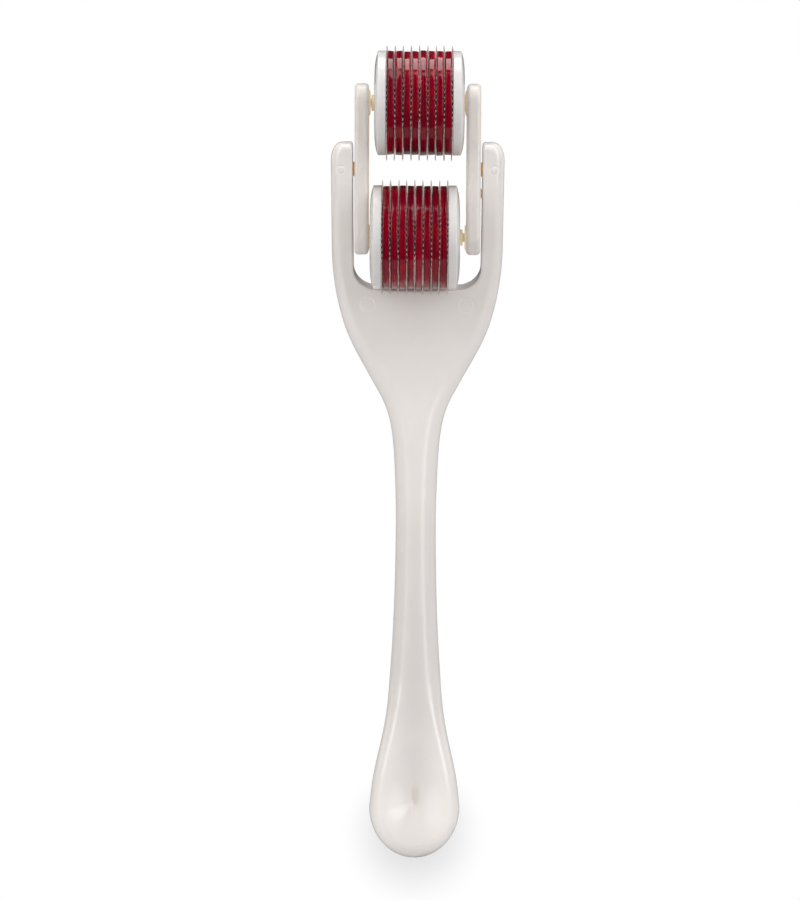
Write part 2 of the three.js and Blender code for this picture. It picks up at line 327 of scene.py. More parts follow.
class Nodes:
    """Short ways to add nodes to a material."""

    def __init__(self, name):
        self.material = bpy.data.materials.new(name)
        self.material.use_nodes = True
        self.tree = self.material.node_tree
        self.shader = self.tree.nodes["Principled BSDF"]
        self.object_place = self.add("ShaderNodeTexCoord").outputs["Object"]

    def add(self, kind, **settings):
        node = self.tree.nodes.new(kind)
        for key, value in settings.items():
            setattr(node, key, value)
        return node

    def link(self, source, target):
        self.tree.links.new(source, target)

    def feed(self, name, source):
        """Links a socket to one of the shader's inputs."""
        self.link(source, self.shader.inputs[name])

    def fed(self, name):
        """The socket that is linked to one of the shader's inputs."""
        return self.shader.inputs[name].links[0].from_socket

    def stretched(self, scale):
        """Object coordinates in millimetres, times a scale along each axis."""
        mapping = self.add("ShaderNodeMapping")
        mapping.inputs["Scale"].default_value = [value / MM for value in scale]
        self.link(self.object_place, mapping.inputs["Vector"])
        return mapping.outputs["Vector"]

    def along(self, axis):
        """One object coordinate, X, Y or Z, in millimetres."""
        apart = self.add("ShaderNodeSeparateXYZ")
        self.link(self.stretched((1, 1, 1)), apart.inputs["Vector"])
        return apart.outputs[axis]

    def noise(self, per_mm, detail=3.0, roughness=0.55, stretch=(1, 1, 1)):
        """Noise with this many features in a millimetre, from 0 to 1."""
        node = self.add("ShaderNodeTexNoise")
        node.inputs["Scale"].default_value = 1.0
        node.inputs["Detail"].default_value = detail
        node.inputs["Roughness"].default_value = roughness
        self.link(self.stretched([per_mm * value for value in stretch]), node.inputs["Vector"])
        return node.outputs["Fac"]

    def ranged(self, source, low, high, from_low=0.35, from_high=0.65):
        """A value from low to high as the source goes from one limit to the other."""
        node = self.add("ShaderNodeMapRange")
        node.inputs["From Min"].default_value = from_low
        node.inputs["From Max"].default_value = from_high
        node.inputs["To Min"].default_value = low
        node.inputs["To Max"].default_value = high
        self.link(source, node.inputs["Value"])
        return node.outputs["Result"]

    def mix(self, share, first, second):
        """A colour between two, which are sockets or colours."""
        node = self.add("ShaderNodeMix", data_type="RGBA")
        self.link(share, node.inputs[0])
        for socket, value in ((node.inputs[6], first), (node.inputs[7], second)):
            if isinstance(value, bpy.types.NodeSocket):
                self.link(value, socket)
            else:
                socket.default_value = (*value, 1)
        return node.outputs[2]

    def maths(self, operation, first, second=0.0):
        """A sum or the like of two sockets or numbers."""
        node = self.add("ShaderNodeMath", operation=operation)
        for socket, value in ((node.inputs[0], first), (node.inputs[1], second)):
            if isinstance(value, bpy.types.NodeSocket):
                self.link(value, socket)
            else:
                socket.default_value = value
        return node.outputs[0]

    def bump(self, *layers):
        """Bumps from (height socket, height in millimetres) layers, one on another."""
        normal = None
        for height, millimetres in layers:
            node = self.add("ShaderNodeBump")
            node.inputs["Distance"].default_value = millimetres * MM
            self.link(height, node.inputs["Height"])
            if normal is not None:
                self.link(normal, node.inputs["Normal"])
            normal = node.outputs["Normal"]
        self.link(normal, self.shader.inputs["Normal"])

    def fading(self, location, scale, near, far, core):
        """A value that goes smoothly from near to far with the distance from a place. The core is
        the share of the distance over which it is still near."""
        mapping = self.add("ShaderNodeMapping")
        mapping.inputs["Location"].default_value = location
        mapping.inputs["Scale"].default_value = scale
        self.link(self.object_place, mapping.inputs["Vector"])
        distance = self.add("ShaderNodeVectorMath", operation="LENGTH")
        self.link(mapping.outputs["Vector"], distance.inputs[0])
        fall = self.add("ShaderNodeMapRange", interpolation_type="SMOOTHSTEP")
        fall.inputs["From Min"].default_value = core
        fall.inputs["To Min"].default_value = near
        fall.inputs["To Max"].default_value = far
        self.link(distance.outputs["Value"], fall.inputs["Value"])
        return fall.outputs["Result"]

    def spot(self, x, z, half, strength, core=0.0):
        """The strength at a place on the object seen along Y, falling smoothly to 0 at a half
        width and half height in millimetres."""
        width, height = half
        scale = (1 / (width * MM), 0, 1 / (height * MM))
        return self.fading((-x / width, 0, -z / height), scale, strength, 0.0, core)

    def finish(self, **values):
        """Sets the shader's plain values, and gives the material."""
        for name, value in values.items():
            self.shader.inputs[name.replace("_", " ")].default_value = value
        return self.material


# Whites of a moulding: pale clouds, darker clouds, and a paler white painted on sharp edges as a
# highlight.
HANDLE_WHITES = ((0.77, 0.73, 0.705), (0.74, 0.70, 0.673), (0.80, 0.768, 0.745))
LINK_WHITES = ((0.715, 0.672, 0.64), (0.68, 0.637, 0.605), (0.765, 0.73, 0.70))
CAP_WHITES = ((0.675, 0.66, 0.655), (0.635, 0.62, 0.615), (0.72, 0.71, 0.71))
EDGE_HIGHLIGHT_SHARE = 0.5
SPECK_DARK, SPECK_SHARE = 0.86, 0.25
LEAST_ROUGH, MOST_ROUGH = 0.8, 1.3

# Soft spots of colour and gloss on the handle: a brown tinge at the gate, painted shade over
# the lower grip and the tip, painted highlights in the hollow, and duller gloss where it is
# held. Heights are above the foot, and halves are half widths and half heights.
BLACK = (0, 0, 0)
BLUSH = {"above_gate": 0.6, "half": (1.3, 3.4), "share": 0.35, "colour": (0.55, 0.46, 0.37)}
GRIP_SHADE = {"height": 38, "half": (8.5, 52), "share": 0.21}
TIP_SHADE = {"height": 0, "half": (14, 11), "share": 0.12}
HOLLOW_HIGHLIGHT = {"x": 3.7, "height": 10.6, "half": (2.5, 5.8), "share": 0.4, "core": 0.3}
HOLLOW_HIGHLIGHT_COLOUR = (0.81, 0.785, 0.775)
HELD = {"z": -8, "half": (60, 62), "roughness": 0.05}
FRONT_BLEND = 0.5

# Link bosses: an ivory tint, and painted light from an emission.
BOSS_TINT = (0.93, 0.78, 0.56)
BOSS_PAINTED_GLOW, BOSS_PAINTED_GLOW_STRENGTH = (1.0, 0.85, 0.58), 0.25
BOSS_NEAR, BOSS_FAR = 0.1, 0.5

RED = {"pale": (0.36, 0.0002, 0.015), "deep": (0.07, 0.0001, 0.003), "cloud": (0.13, 0.0002, 0.012)}
CLOUD_SHARE = 0.6
STEEL = {"bright": (0.70, 0.57, 0.50), "stained": (0.48, 0.38, 0.33)}
AMBER = {
    "light": (1.0, 0.68, 0.21),
    "dark": (0.96, 0.58, 0.13),
    "radius": (1.0, 0.6, 0.25),
    "painted_glow": (1.0, 0.52, 0.02),
}
IVORY = {
    "light": (0.92, 0.82, 0.64),
    "dark": (0.86, 0.75, 0.56),
    "radius": (1.0, 0.8, 0.6),
    "painted_glow": (0.45, 0.38, 0.28),
}
NYLON_ROUGHNESS = 0.3


def plastic(name, whites, roughness, subsurface, depth_mm):
    """Glossy moulded plastic: cloudy colour, sharp edges made paler as a painted highlight, flow
    lines and a fine skin.
    """
    light, dark, edge = whites
    made = Nodes(name)
    cloud = made.ranged(made.noise(0.06, detail=4), 0, 1)
    speck = made.ranged(made.noise(3.5, detail=2), 0, SPECK_SHARE, 0.68, 0.76)
    # Painted highlight: sharp, convex edges are made paler.
    pointed = made.add("ShaderNodeNewGeometry").outputs["Pointiness"]
    edge_highlight = made.ranged(pointed, 0, EDGE_HIGHLIGHT_SHARE, 0.52, 0.62)
    colour = made.mix(edge_highlight, made.mix(cloud, light, dark), edge)
    dull = tuple(SPECK_DARK * value for value in dark)
    made.feed("Base Color", made.mix(speck, colour, dull))
    haze = made.noise(0.35, detail=5, stretch=(1, 1, 0.3))
    made.feed("Roughness", made.ranged(haze, roughness * LEAST_ROUGH, roughness * MOST_ROUGH))
    made.bump((made.noise(0.12, detail=2), 0.03), (made.noise(4, detail=3), 0.0012))
    made.finish(
        Subsurface_Weight=subsurface,
        Subsurface_Radius=(1.0, 0.85, 0.7),
        Subsurface_Scale=depth_mm * MM,
        IOR=1.54,
    )
    return made


def handle_plastic():
    """White plastic, duller where it is held, with a brown tinge round the gate. Painted shade
    darkens the lower grip and the foot's tip, and two painted highlights lighten the hollow.
    """
    made = plastic("handle plastic", HANDLE_WHITES, roughness=0.1, subsurface=0.3, depth_mm=1.4)
    rings = handle_rings()
    halfway = float(np.interp(GATE[1], rings[:, 0], rings[:, 2]))
    front = made.ranged(made.along("Y"), 1, 0, halfway - FRONT_BLEND, halfway + FRONT_BLEND)
    colour = made.fed("Base Color")
    blush = made.spot(GATE[0], GATE[1] + BLUSH["above_gate"], BLUSH["half"], BLUSH["share"])
    colour = made.mix(made.maths("MULTIPLY", blush, front), colour, BLUSH["colour"])
    # Painted shade: darker over the lower grip and at the foot's tip.
    for shade in (GRIP_SHADE, TIP_SHADE):
        dark = made.spot(0, FOOT + shade["height"], shade["half"], shade["share"])
        colour = made.mix(dark, colour, BLACK)
    # Painted highlights: two paler lobes in the hollow, either side of the gate, on the front only.
    for side in (-1, 1):
        place = (side * HOLLOW_HIGHLIGHT["x"], FOOT + HOLLOW_HIGHLIGHT["height"])
        highlight = made.spot(*place, HOLLOW_HIGHLIGHT["half"], HOLLOW_HIGHLIGHT["share"], HOLLOW_HIGHLIGHT["core"])
        colour = made.mix(made.maths("MULTIPLY", highlight, front), colour, HOLLOW_HIGHLIGHT_COLOUR)
    made.feed("Base Color", colour)
    held = made.spot(0, HELD["z"], HELD["half"], HELD["roughness"])
    made.feed("Roughness", made.maths("ADD", made.fed("Roughness"), held))
    return made.material


def link_plastic():
    """White plastic, tinted ivory on the thin bosses, where an emission adds painted light as if
    light came through them.
    """
    made = plastic("link plastic", LINK_WHITES, roughness=0.26, subsurface=0.3, depth_mm=0.8)
    out = made.maths("ABSOLUTE", made.along("X"))
    face = span("right_link")[0][0]
    # The bosses get an ivory tint and painted light: an emission that makes them shine in the
    # shaded gap beside the drum.
    thin = made.ranged(out, 1, 0, face + BOSS_NEAR, face + BOSS_FAR)
    made.feed("Base Color", made.mix(thin, made.fed("Base Color"), BOSS_TINT))
    made.feed("Emission Strength", made.maths("MULTIPLY", thin, BOSS_PAINTED_GLOW_STRENGTH))
    made.finish(Emission_Color=(*BOSS_PAINTED_GLOW, 1))
    return made.material


def cap_plastic():
    return plastic(
        "cap plastic", CAP_WHITES, roughness=0.16, subsurface=0.35, depth_mm=1.0
    ).material


def red_plastic():
    """Deep red and glossy, with lines turned round it."""
    made = Nodes("red plastic")
    lines = made.noise(1.0, detail=2, stretch=(7.0, 0.05, 0.05))
    cloud = made.ranged(made.noise(0.5, detail=4), 0, CLOUD_SHARE, 0.4, 0.6)
    colour = made.mix(made.ranged(lines, 0, 1, 0.42, 0.58), RED["pale"], RED["deep"])
    made.feed("Base Color", made.mix(cloud, colour, RED["cloud"]))
    made.feed("Roughness", made.ranged(made.noise(1.5, detail=4), 0.03, 0.09))
    fleck = made.ranged(made.noise(2.2, detail=5, roughness=0.7), 0, 1, 0.62, 0.72)
    made.bump((lines, 0.006), (made.noise(0.9, detail=3), 0.016), (fleck, 0.012))
    return made.finish(
        Subsurface_Weight=0.1,
        Subsurface_Radius=(1.0, 0.1, 0.1),
        Subsurface_Scale=0.3 * MM,
        IOR=1.52,
    )


def nylon(name, light, dark, radius, painted_glow):
    """Unfilled nylon: cloudy, with turning marks. Its emission is painted light: it makes the part
    shine as if lit by light coming through it from the bright plastic round it."""
    made = Nodes(name)
    made.feed("Base Color", made.mix(made.ranged(made.noise(0.9, detail=4), 0, 1), light, dark))
    least, most = NYLON_ROUGHNESS * LEAST_ROUGH, NYLON_ROUGHNESS * MOST_ROUGH
    made.feed("Roughness", made.ranged(made.noise(2.5, detail=3), least, most))
    made.bump((made.noise(1.0, detail=2, stretch=(9, 0.3, 0.3)), 0.006), (made.noise(6), 0.002))
    return made.finish(
        Subsurface_Weight=0.4,
        Subsurface_Radius=radius,
        Subsurface_Scale=0.25 * MM,
        # Painted light: the emission makes the part shine in its shaded gap.
        Emission_Color=(*painted_glow, 1),
        Emission_Strength=0.2,
        IOR=1.53,
    )


def needle_steel():
    """Etched steel: bright, faintly stained, with fine scratches."""
    made = Nodes("needle steel")
    stain = made.ranged(made.noise(1.2, detail=4), 0, 1)
    made.feed("Base Color", made.mix(stain, STEEL["bright"], STEEL["stained"]))
    scratch = made.noise(8, detail=3, stretch=(1, 1, 0.2))
    made.feed("Roughness", made.ranged(scratch, 0.2, 0.42))
    made.bump((scratch, 0.002), (made.noise(20), 0.001))
    return made.finish(Metallic=0.4)


# ---------------------------------------------------------------- handle

# Heights in the CAD model are counted from FOOT_ZERO. FOOT is the lowest corner of its faceted
# foot, a little above that.
FOOT_ZERO = -65.0
MARK_X = 14.7

# How far in from its outline the handle's edge is still rounded, against height.
EDGE_REACH = smooth_curve(
    [
        (0, 2.6),
        (16, 2.2),
        (26, 2.4),
        (36, 3.6),
        (57, 3.8),
        (78, 3.9),
        (90, 3.9),
        (102, 3.0),
        (114, 2.1),
        (125, 1.7),
        (142, 1.6),
    ]
)
NOTCH_EDGE = 0.5
NOTCH_HALF_WIDTH = 12.35
NOTCH_DRAFT = 0.2
NOTCH_CORNER = 4.4
NOTCH_FLOOR = 112.6
NOTCH_RISE = 40.6
NOTCH_TILT = math.radians(11)
SOCKET_GAP = 0.1
SOCKET_END = 0.2
SOCKET_EDGE = 0.1
HOLLOW = {"height": 11.2, "up": 12.5, "down": 8.4, "half_width": 6.5, "depth": 1.95, "taper": 0.42}
HOLLOW_POWER = 1.25
HOLLOW_BOTTOM = 0.16
GATE = (0.25, FOOT + 11.9)
PIP = {"half_width": 0.3, "stretch": 3, "rise": 0.12}
GROOVE = {"left": 0.45, "up": 0.5, "half_width": 0.3, "half_height": 2.2, "depth": 0.16}
RING_MARK = {"radius": 0.75, "line": 0.14, "depth": 0.1, "dome": 0.1}
PADDLE_MARK = {"x": 9.8, "height": 109.1, "radius": 1.4, "line": 0.16, "depth": 0.07}

# Grid steps, and how far round each small mark the mesh is finer.
HANDLE_STEP, HANDLE_QUICK_STEP = 0.3, 0.5
RING_MARK_REACH, WIDE_MARK_REACH = 1.3, 2.2


def handle_rings():
    """(height, half width, middle depth, half thickness) at each ring of the CAD handle."""
    LEAST_IN_A_RING = 16
    points = np.unique(np.round(points_of("handle"), 3), axis=0)
    levels, which, counts = np.unique(points[:, 2], return_inverse=True, return_counts=True)
    rings = []
    for k in np.nonzero(counts >= LEAST_IN_A_RING)[0]:
        ring = points[which.ravel() == k]
        edge = ring[np.argmax(ring[:, 0])]
        rings.append((levels[k], edge[0], edge[1], ring[:, 1].max() - edge[1]))
    return np.array(rings)


def handle_shape():
    """The handle's surface, as a distance that is negative inside."""
    rings = handle_rings()
    lower = rings[rings[:, 0] < 0]
    end_top, end_width = lower[np.argmax(lower[:, 1]), :2]
    shoulder, shoulder_width = rings[np.argmax(rings[:, 1]), :2]
    top_width = rings[-1, 1]
    body = rings[rings[:, 0] >= end_top]
    width = smooth_curve(body[body[:, 0] <= shoulder][:, [0, 1]])
    depth = smooth_curve(rings[:, [0, 2]])
    thickness = smooth_curve(body[body[:, 0] <= shoulder][:, [0, 3]])

    END_POINTS, SIDE_POINTS, CORNER_POINTS = 36, 130, 12
    quarter = np.linspace(-math.pi / 2, 0, END_POINTS)
    lower_end = np.stack(
        [end_width * np.cos(quarter), end_top + (end_top - FOOT) * np.sin(quarter)], axis=1
    )
    sides = np.linspace(end_top, shoulder, SIDE_POINTS)[1:]
    side = np.stack([width(sides), sides], axis=1)
    turn = np.linspace(0, math.pi / 2, CORNER_POINTS)[1:]
    corner = np.stack(
        [
            top_width + (shoulder_width - top_width) * np.cos(turn),
            shoulder + (FORK_TOP - shoulder) * np.sin(turn),
        ],
        axis=1,
    )
    outline = np.concatenate([lower_end, side, corner, [(0, FORK_TOP)]])

    def depth_inside(x, z):
        """Distance to the outline, positive inside it."""
        x = np.abs(x)
        nearest = np.full(np.broadcast(x, z).shape, np.inf)
        for (ax, az), (bx, bz) in zip(outline[:-1], outline[1:]):
            dx, dz = bx - ax, bz - az
            t = np.clip(((x - ax) * dx + (z - az) * dz) / (dx * dx + dz * dz), 0, 1)
            np.minimum(nearest, (x - ax - t * dx) ** 2 + (z - az - t * dz) ** 2, out=nearest)
        half = np.interp(z, outline[:, 1], outline[:, 0])
        inside = (x < half) & (z > FOOT) & (z < FORK_TOP)
        return np.where(inside, 1, -1) * np.sqrt(nearest)

    def hollow_depth(x, z):
        """How deep the fingertip's teardrop hollow is."""
        up = (z - FOOT - HOLLOW["height"]) / HOLLOW["up"]
        down = (z - FOOT - HOLLOW["height"]) / HOLLOW["down"]
        along = np.where(up > 0, up, down)
        half = HOLLOW["half_width"] * (1 - HOLLOW["taper"] * np.clip(up, 0, 1) ** 2)
        reach = np.sqrt((x / half) ** 2 + along**2 + HOLLOW_BOTTOM**2) - HOLLOW_BOTTOM
        reach = reach / (math.hypot(1, HOLLOW_BOTTOM) - HOLLOW_BOTTOM)
        return HOLLOW["depth"] * (1 - np.minimum(reach, 1)) ** HOLLOW_POWER

    notch_y = depth(np.array(FOOT_ZERO + NOTCH_FLOOR))

    def notch(x, y, z):
        """Distance to the gap between the fork's arms, negative in it."""
        up, back = z - FOOT_ZERO - NOTCH_FLOOR, y - notch_y
        rise = up * math.cos(NOTCH_TILT) - back * math.sin(NOTCH_TILT)
        half = NOTCH_HALF_WIDTH + NOTCH_DRAFT * np.clip((rise - NOTCH_CORNER) / NOTCH_RISE, 0, 1)
        across, under = np.abs(x) - (half - NOTCH_CORNER), NOTCH_CORNER - rise
        outer = np.hypot(np.maximum(across, 0), np.maximum(under, 0))
        return outer + np.minimum(np.maximum(across, under), 0) - NOTCH_CORNER

    pin_low, pin_high = span("right_pivot_pin")
    socket_radius = (pin_high[2] - pin_low[2]) / 2 + SOCKET_GAP
    socket_end = pin_high[0] + SOCKET_END

    def marks(x, y, z):
        """Small sunk rings left by ejector pins, and the gate's pip. Positive sinks the surface."""
        front = y < depth(z)
        sunk = 0
        for side in (-1, 1):
            away = np.hypot(x - side * MARK_X, z - PIVOT[2])
            sunk = sunk + RING_MARK["depth"] * bell(away - RING_MARK["radius"], RING_MARK["line"])
            sunk = sunk - RING_MARK["dome"] * np.maximum(1 - (away / RING_MARK["radius"]) ** 2, 0)
            away = np.hypot(x - side * PADDLE_MARK["x"], z - FOOT_ZERO - PADDLE_MARK["height"])
            line = bell(away - PADDLE_MARK["radius"], PADDLE_MARK["line"])
            sunk = sunk + PADDLE_MARK["depth"] * line
        across, up = x - GATE[0], z - GATE[1]
        pip = np.hypot(across / PIP["half_width"], up / (PIP["stretch"] * PIP["half_width"]))
        groove = np.hypot(
            (across + GROOVE["left"]) / GROOVE["half_width"],
            (up - GROOVE["up"]) / GROOVE["half_height"],
        )
        sunk = sunk - PIP["rise"] * np.exp(-(pip**4)) + GROOVE["depth"] * np.exp(-(groove**2))
        return np.where(front, sunk, 0)

    def field(x, y, z):
        middle_y, back = depth(z), thickness(z)
        front = back - hollow_depth(x, z)
        half = np.where(y < middle_y, front, back)
        reach = EDGE_REACH(z - FOOT)
        edge = np.maximum(reach - depth_inside(x, z), 0) / reach
        flat = np.maximum(np.abs(y - middle_y) / half, 0.001)
        size = np.hypot(edge, flat)
        body_distance = (size - 1) * size / np.hypot(edge / reach, flat / half)
        made = round_max(body_distance, -notch(x, y, z), NOTCH_EDGE)
        away = np.hypot(y - PIVOT[1], z - PIVOT[2]) - socket_radius
        socket = np.maximum(away, np.abs(x) - socket_end)
        return round_max(made, -socket, SOCKET_EDGE) + marks(x, y, z)

    return field, depth, thickness


def make_handle(material):
    field, depth, thickness = handle_shape()
    low, high = span("handle")
    step = HANDLE_STEP
    spots = []
    for side in (-1, 1):
        spots.append((side * MARK_X, PIVOT[1] - thickness(PIVOT[2]), PIVOT[2], RING_MARK_REACH))
        height = FOOT_ZERO + PADDLE_MARK["height"]
        face = float(depth(height) - thickness(height))
        spots.append((side * PADDLE_MARK["x"], face, height, WIDE_MARK_REACH))
    gate_face = float(depth(GATE[1]) - thickness(GATE[1])) + HOLLOW["depth"]
    spots.append((GATE[0], gate_face, GATE[1], WIDE_MARK_REACH))
    made = moulded("handle_moulding", field, low, high, step, material, spots)
    stand_in(made, "handle", "handle")


# ---------------------------------------------------------------- links

LINK_STEP, LINK_QUICK_STEP = 0.17, 0.3
LINK_EDGE = 0.8
BOSS_REACH = 0.29
BOSS_ROOT = 0.8
BOSS_FACE_RADIUS = 2.2
BOSS_BASE_RADIUS = 2.45
BOSS_EDGE = 0.12
BOSS_FILLET = 0.25
SHOULDER_SEAT_GAP = 0.2
SHOULDER_SEAT_DEPTH = 0.87
HOLE_EDGE = 0.1
SEAT_GAP = 0.05
SEAT_END_GAP = 0.1
SEAT_EDGE = 0.08


def link_shape(side):
    """A link's surface, as a distance that is negative inside. Both are mirrored from the right."""
    low, high = span("right_link")
    boss_face, outer = low[0], high[0]
    inner = boss_face + BOSS_REACH
    radius = (high[1] - low[1]) / 2
    reach = (high[2] - low[2]) / 2 - radius
    shoulder = radius_at_end("upper_core", AXLES["upper"]) + SHOULDER_SEAT_GAP
    axle = radius_at_end("upper_axle", AXLES["upper"]) + SEAT_GAP
    axle_end = span("upper_axle")[1][0] + SEAT_END_GAP
    seated = ["right_pivot_pin", "friction_nub"] if side > 0 else ["right_pivot_pin"]
    seats = []
    for node in seated:
        centre = middle(node)
        seat_radius = radius_at_end(node, centre) + SEAT_GAP
        seats.append((centre, seat_radius, span(node)[0][0] - SEAT_END_GAP))

    def field(x, y, z):
        x = side * x
        beyond = np.maximum(np.abs(z - PIVOT[2]) - reach, 0)
        outline = np.hypot(y - PIVOT[1], beyond) - radius
        made = round_max(outline, np.abs(x - (inner + outer) / 2) - (outer - inner) / 2, LINK_EDGE)
        for axle_point in AXLES.values():
            away = np.hypot(y - axle_point[1], z - axle_point[2])
            share = np.clip((x - boss_face) / BOSS_REACH, 0, 1)
            cone = away - BOSS_FACE_RADIUS - (BOSS_BASE_RADIUS - BOSS_FACE_RADIUS) * share
            boss = round_max(cone, np.maximum(boss_face - x, x - inner - BOSS_ROOT), BOSS_EDGE)
            made = round_min(made, boss, BOSS_FILLET)
            made = np.maximum(made, boss_face - x)
            hole = np.maximum(away - shoulder, x - boss_face - SHOULDER_SEAT_DEPTH)
            hole = np.minimum(hole, np.maximum(away - axle, x - axle_end))
            made = round_max(made, -hole, HOLE_EDGE)
        for point, seat_radius, seat_start in seats:
            away = np.hypot(y - point[1], z - point[2]) - seat_radius
            made = round_max(made, -np.maximum(away, seat_start - x), SEAT_EDGE)
        return made

    return field


def make_link(name, side, material):
    low, high = span(name)
    step = LINK_STEP
    made = moulded(f"{name}_moulding", link_shape(side), low, high, step, material)
    stand_in(made, name, "rocker")


# ---------------------------------------------------------------- pins and axles


BAR_SIDES = 48
PIN_EDGE, AXLE_EDGE = 0.15, 0.12
DIMPLE_DEPTH, DIMPLE_SHARE = 0.02, 0.12
INNER_SHARE, KEPT_SHARE = 0.3, 0.35
NEAR_AXIS = 0.001


def make_bar(node, body, material, edge):
    """A round bar along X in place of a CAD one, with rounded ends that dip in the middle."""
    low, high = span(node)
    radius = (high[2] - low[2]) / 2
    left, right = low[0] + DIMPLE_DEPTH, high[0] - DIMPLE_DEPTH
    dimple, inner = DIMPLE_SHARE * radius, INNER_SHARE * radius
    corners = [(low[0], inner), (low[0], radius), (high[0], radius), (high[0], inner)]
    outer = [tuple(point) for point in rounded(corners, edge) if point[1] > KEPT_SHARE * radius]
    profile = [(left, NEAR_AXIS), (left, dimple), *outer, (right, dimple), (right, NEAR_AXIS)]
    made = turned(f"{node}_turned", profile, BAR_SIDES, middle(node), material)
    stand_in(made, node, body)


# ---------------------------------------------------------------- drums

DRUM_SIDES = 192

CORE_SIDES = 96
BORE_GAP = 0.1
BORE_CHAMFER = 0.06
SHOULDER_ROUND = 0.1
HEXAGON_BURIED = 0.9
HEXAGON_STEP = 0.01

CAP_BORE_GAP = 0.1
CAP_RIM = 0.12
CAP_RECESS_RADIUS = 2.8
CAP_RECESS_DEPTH = 0.5
RECESS_EDGE = 0.06
DOME_RISE = 0.72
DOME_POWER = 6
DOME_RINGS, DOME_SPREAD, DOME_MARGIN = 14, 1.6, 0.3

RING_HOLE = 4.2
SPACER_EDGE_WIDTH, SPACER_EDGE_DROP = 0.22, 0.1
SPACER_EDGE_POINTS = 7
SPACER_OFFSET, SPACER_TILT = 0.05, 0.05
SPACER_WAVE, SPACER_SHIFT = 0.035, 0.25
SPACER_CROWN = 0.03
SPACER_SHY, SPACER_MOST = 0.06, 0.16

NEEDLES = 60
NEEDLE_SIDES = 6
NEEDLE_ROOT = 8.4
# A needle's rows: how far below the tip, half width, and half depth over the disc's thickness.
ROOT_SIZE = (0.28, 0.5)
NEEDLE_ROWS = (
    (1.15, 0.22, 0.5),
    (0.6, 0.17, 0.42),
    (0.2, 0.085, 0.24),
    (0.02, 0.018, 0.06),
)
NEEDLE_LEAN, NEEDLE_SWING, NEEDLE_WEAR = 0.035, 0.0035, 0.03
LEAN_POWER = 1.3
DISC_SIDES = 120
DISC_EDGE = 8.6
DISC_ROUND = 0.05
DISC_WAVE = 0.09


def make_core(drum, material):
    """The moulded core: a hexagon in the middle, and a round shoulder at each end."""
    node = f"{drum}_core"
    low, high = span(node)
    centre = AXLES[drum]
    shoulder = radius_at_end(node, centre)
    corner = (high[2] - low[2]) / 2
    bore = radius_at_end("upper_axle", AXLES["upper"]) + BORE_GAP
    start = span(f"{drum}_left_cap")[1][0] - HEXAGON_BURIED
    stop = span(f"{drum}_right_cap")[0][0] + HEXAGON_BURIED
    part_round = 0.3 * SHOULDER_ROUND
    profile = [
        (low[0], bore + BORE_CHAMFER),
        (low[0], shoulder - SHOULDER_ROUND),
        (low[0] + part_round, shoulder - part_round),
        (low[0] + SHOULDER_ROUND, shoulder),
        (start - HEXAGON_STEP, shoulder),
        (start, corner),
        (stop, corner),
        (stop + HEXAGON_STEP, shoulder),
        (high[0] - SHOULDER_ROUND, shoulder),
        (high[0] - part_round, shoulder - part_round),
        (high[0], shoulder - SHOULDER_ROUND),
        (high[0], bore + BORE_CHAMFER),
        (high[0] - BORE_CHAMFER, bore),
        (low[0] + BORE_CHAMFER, bore),
    ]

    def hexagon(angles, place, radius):
        flat = math.cos(math.pi / 6) / np.cos((angles % (math.pi / 3)) - math.pi / 6)
        return np.where(radius > (shoulder + corner) / 2, corner * (flat - 1), 0)

    made = turned(f"{node}_moulding", profile, CORE_SIDES, centre, material, hexagon)
    stand_in(made, node, f"{drum}_roller")


def make_cap(drum, side, material):
    """A domed end cap with a crisp rim and a sunk ring round the shoulder."""
    name = "right" if side > 0 else "left"
    node = f"{drum}_{name}_cap"
    low, high = span(node)
    inner, outer = (low[0], high[0]) if side > 0 else (high[0], low[0])
    centre = AXLES[drum]
    radius = (high[2] - low[2]) / 2
    bore = radius_at_end(f"{drum}_core", centre) + CAP_BORE_GAP

    def dome(at):
        return outer - side * DOME_RISE * (at / radius) ** DOME_POWER

    edge = outer - side * DOME_RISE
    rim = [(inner, bore), (inner, radius - CAP_RIM), (inner + side * 0.04, radius - 0.03)]
    wall = [(inner + (edge - inner) * share, radius) for share in (0.08, 0.3, 0.6, 0.85)]
    turn = [
        (edge - side * 0.08, radius),
        (edge, radius - 0.02),
        (edge + side * 0.06, radius - 0.11),
    ]
    shares = 1 - np.linspace(0, 1, DOME_RINGS) ** DOME_SPREAD
    across = CAP_RECESS_RADIUS + (radius - DOME_MARGIN - CAP_RECESS_RADIUS) * shares
    face = [(dome(at), at) for at in across]
    recess = [
        (outer - side * RECESS_EDGE, CAP_RECESS_RADIUS - 0.04),
        (outer - side * (CAP_RECESS_DEPTH - RECESS_EDGE), CAP_RECESS_RADIUS - 0.1),
        (outer - side * CAP_RECESS_DEPTH, CAP_RECESS_RADIUS - 0.18),
        (outer - side * CAP_RECESS_DEPTH, bore),
    ]
    profile = rim + wall + turn + face + recess
    made = turned(f"{node}_moulding", profile, DRUM_SIDES, centre, material)
    stand_in(made, node, f"{drum}_roller")


def random_waves(chance, spreads):
    """(waves round the rim, size, start) for each number of waves in the spreads."""
    return [
        (k, chance.normal(0, spread), chance.uniform(0, 2 * math.pi))
        for k, spread in spreads.items()
    ]


def wave_sum(waves, angles):
    return sum(size * np.cos(k * angles + start) for k, size, start in waves)


